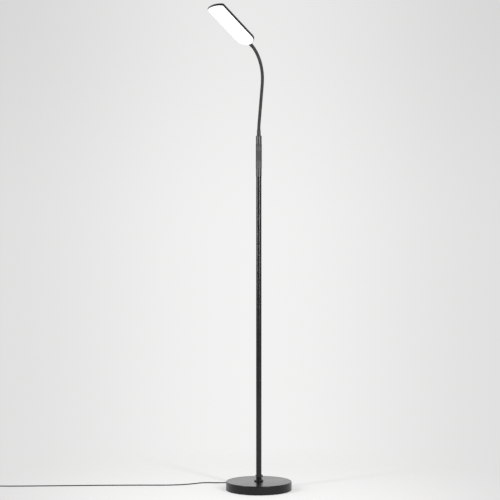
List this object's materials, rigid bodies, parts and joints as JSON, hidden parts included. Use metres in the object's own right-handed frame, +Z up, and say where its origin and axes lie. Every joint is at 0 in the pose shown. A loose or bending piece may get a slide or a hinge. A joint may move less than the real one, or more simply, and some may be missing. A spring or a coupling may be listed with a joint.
{
  "type": "gooseneck floor lamp",
  "caption": "Slim reading lamp: round weighted base, straight three-part pole, control sleeve with two buttons, bendable neck and a flat lit head.",
  "frame": {"origin": "on the floor, at the middle of the underside of the base's pad, on the pole's axis", "axes": "+Z up along the pole; -Y is the front, where the two buttons face; the head leans to -X and -Y at rest; +X to the right seen from the front"},
  "size_m": [1.1215, 0.4135, 1.6714],
  "materials": {
    "black_powder_coat": "semi-gloss black powder coat",
    "black_plastic": "fine matt moulded black",
    "black_rubber": "soft matt black",
    "cord_jacket": "smooth black jacket",
    "adapter_shell": "fine textured black shell",
    "head_shell": "black powder coat",
    "opal_panel": "opal white light panel",
    "white_sheet": "matt white",
    "lamp_body": "small surface-mounted light sources",
    "metal_core_board": "white board on aluminium",
    "circuit_green": "glass-fibre board",
    "component_black": "moulded electronic parts",
    "connector_white": "white nylon",
    "cast_weight": "rough cast",
    "zinc_steel": "zinc-plated steel",
    "plated_brass": "plated"
  },
  "bodies": {
    "stand": {"base_cover": "black_powder_coat", "base_weight": "cast_weight", "base_pad": "black_rubber", "base_washer": "zinc_steel", "base_bolt": "zinc_steel", "foot_plug": "zinc_steel", "pole_collar": "black_plastic", "pole_tube_1": "black_powder_coat", "pole_tube_2": "black_powder_coat", "pole_tube_3": "black_powder_coat", "tube_joiner_1": "zinc_steel", "tube_joiner_2": "zinc_steel", "sleeve_body": "black_plastic", "grip_band": "black_rubber", "sleeve_cap": "black_plastic", "circuit_board": "circuit_green", "tact_switches": "component_black", "driver_parts": "component_black", "lead_connector": "connector_white", "supply_lead": "cord_jacket", "neck_nut": "plated_brass", "lower_ferrule": "black_powder_coat", "strain_relief": "cord_jacket", "cord": "cord_jacket", "cord_coil": "cord_jacket", "cord_tail": "cord_jacket", "coil_tie": "black_plastic", "adapter_body": "adapter_shell", "adapter_blades": "plated_brass"},
    "power_button": {"power_button": "black_rubber"},
    "dimmer_button": {"dimmer_button": "black_rubber"},
    "neck_link_01": {"neck_link_01": "black_powder_coat"},
    "neck_link_02": {"neck_link_02": "black_powder_coat"},
    "neck_link_03": {"neck_link_03": "black_powder_coat"},
    "neck_link_04": {"neck_link_04": "black_powder_coat"},
    "neck_link_05": {"neck_link_05": "black_powder_coat"},
    "neck_link_06": {"neck_link_06": "black_powder_coat"},
    "neck_link_07": {"neck_link_07": "black_powder_coat"},
    "neck_link_08": {"neck_link_08": "black_powder_coat"},
    "neck_link_09": {"neck_link_09": "black_powder_coat"},
    "neck_link_10": {"neck_link_10": "black_powder_coat"},
    "neck_link_11": {"neck_link_11": "black_powder_coat"},
    "head": {"upper_ferrule": "black_powder_coat", "head_housing": "head_shell", "neck_clip": "zinc_steel", "led_board": "metal_core_board", "reflector": "white_sheet", "leds": "lamp_body", "head_screws": "zinc_steel", "diffuser": "opal_panel"}
  },
  "joints": [
    {"name": "power_press", "type": "slide", "parent": "stand", "child": "power_button", "axis": [0, 1, 0], "range_m": [0, 0.0005], "stiffness_N_per_m": 900, "springref_m": -0.0004},
    {"name": "dimmer_press", "type": "slide", "parent": "stand", "child": "dimmer_button", "axis": [0, 1, 0], "range_m": [0, 0.0005], "stiffness_N_per_m": 900, "springref_m": -0.0004},
    {"name": "neck_lower_bend", "type": "hinge", "parent": "stand", "child": "neck_link_01", "pos_m": [0, 0, 1.271], "axis": [0.7431, -0.6691, 0], "range_deg": [-20, 20]},
    {"name": "neck_lower_sway", "type": "hinge", "parent": "neck_link_01", "child": "neck_link_02", "pos_m": [0.00212, 0.00236, 1.29715], "axis": [-0.6643, -0.7377, 0.1205], "range_deg": [-20, 20]},
    {"name": "neck_bend_03", "type": "hinge", "parent": "neck_link_02", "child": "neck_link_03", "pos_m": [0.00425, 0.00472, 1.3233], "axis": [0.7431, -0.6691, 0], "range_deg": [-20, 20]},
    {"name": "neck_sway_04", "type": "hinge", "parent": "neck_link_03", "child": "neck_link_04", "pos_m": [0.00637, 0.00707, 1.34944], "axis": [-0.6643, -0.7377, 0.1205], "range_deg": [-20, 20]},
    {"name": "neck_bend_05", "type": "hinge", "parent": "neck_link_04", "child": "neck_link_05", "pos_m": [0.00849, 0.00943, 1.37559], "axis": [0.7431, -0.6691, 0], "range_deg": [-20, 20]},
    {"name": "neck_sway_06", "type": "hinge", "parent": "neck_link_05", "child": "neck_link_06", "pos_m": [0.01062, 0.01179, 1.40174], "axis": [-0.6643, -0.7378, 0.1202], "range_deg": [-20, 20]},
    {"name": "neck_upper_bend", "type": "hinge", "parent": "neck_link_06", "child": "neck_link_07", "pos_m": [0.01273, 0.01414, 1.42789], "axis": [0.7431, -0.6691, 0], "range_deg": [-20, 20]},
    {"name": "neck_upper_sway", "type": "hinge", "parent": "neck_link_07", "child": "neck_link_08", "pos_m": [0.01289, 0.01431, 1.45419], "axis": [-0.6665, -0.7403, -0.0879], "range_deg": [-20, 20]},
    {"name": "neck_bend_09", "type": "hinge", "parent": "neck_link_08", "child": "neck_link_09", "pos_m": [0.00965, 0.01072, 1.48004], "axis": [0.7431, -0.6691, 0], "range_deg": [-20, 20]},
    {"name": "neck_sway_10", "type": "hinge", "parent": "neck_link_09", "child": "neck_link_10", "pos_m": [0.00314, 0.00349, 1.50447], "axis": [-0.5948, -0.6606, -0.458], "range_deg": [-20, 20]},
    {"name": "neck_bend_11", "type": "hinge", "parent": "neck_link_10", "child": "neck_link_11", "pos_m": [-0.00639, -0.0071, 1.52658], "axis": [0.7431, -0.6691, 0], "range_deg": [-20, 20]},
    {"name": "neck_sway_12", "type": "hinge", "parent": "neck_link_11", "child": "head", "pos_m": [-0.0186, -0.02065, 1.54552], "axis": [-0.4169, -0.4631, -0.7821], "range_deg": [-20, 20]}
  ],
  "couplings": [
    {"joint": "neck_bend_03", "follows": "neck_lower_bend", "ratio": 1},
    {"joint": "neck_sway_04", "follows": "neck_lower_sway", "ratio": 1},
    {"joint": "neck_bend_05", "follows": "neck_lower_bend", "ratio": 1},
    {"joint": "neck_sway_06", "follows": "neck_lower_sway", "ratio": 1},
    {"joint": "neck_bend_09", "follows": "neck_upper_bend", "ratio": 1},
    {"joint": "neck_sway_10", "follows": "neck_upper_sway", "ratio": 1},
    {"joint": "neck_bend_11", "follows": "neck_upper_bend", "ratio": 1},
    {"joint": "neck_sway_12", "follows": "neck_upper_sway", "ratio": 1}
  ]
}
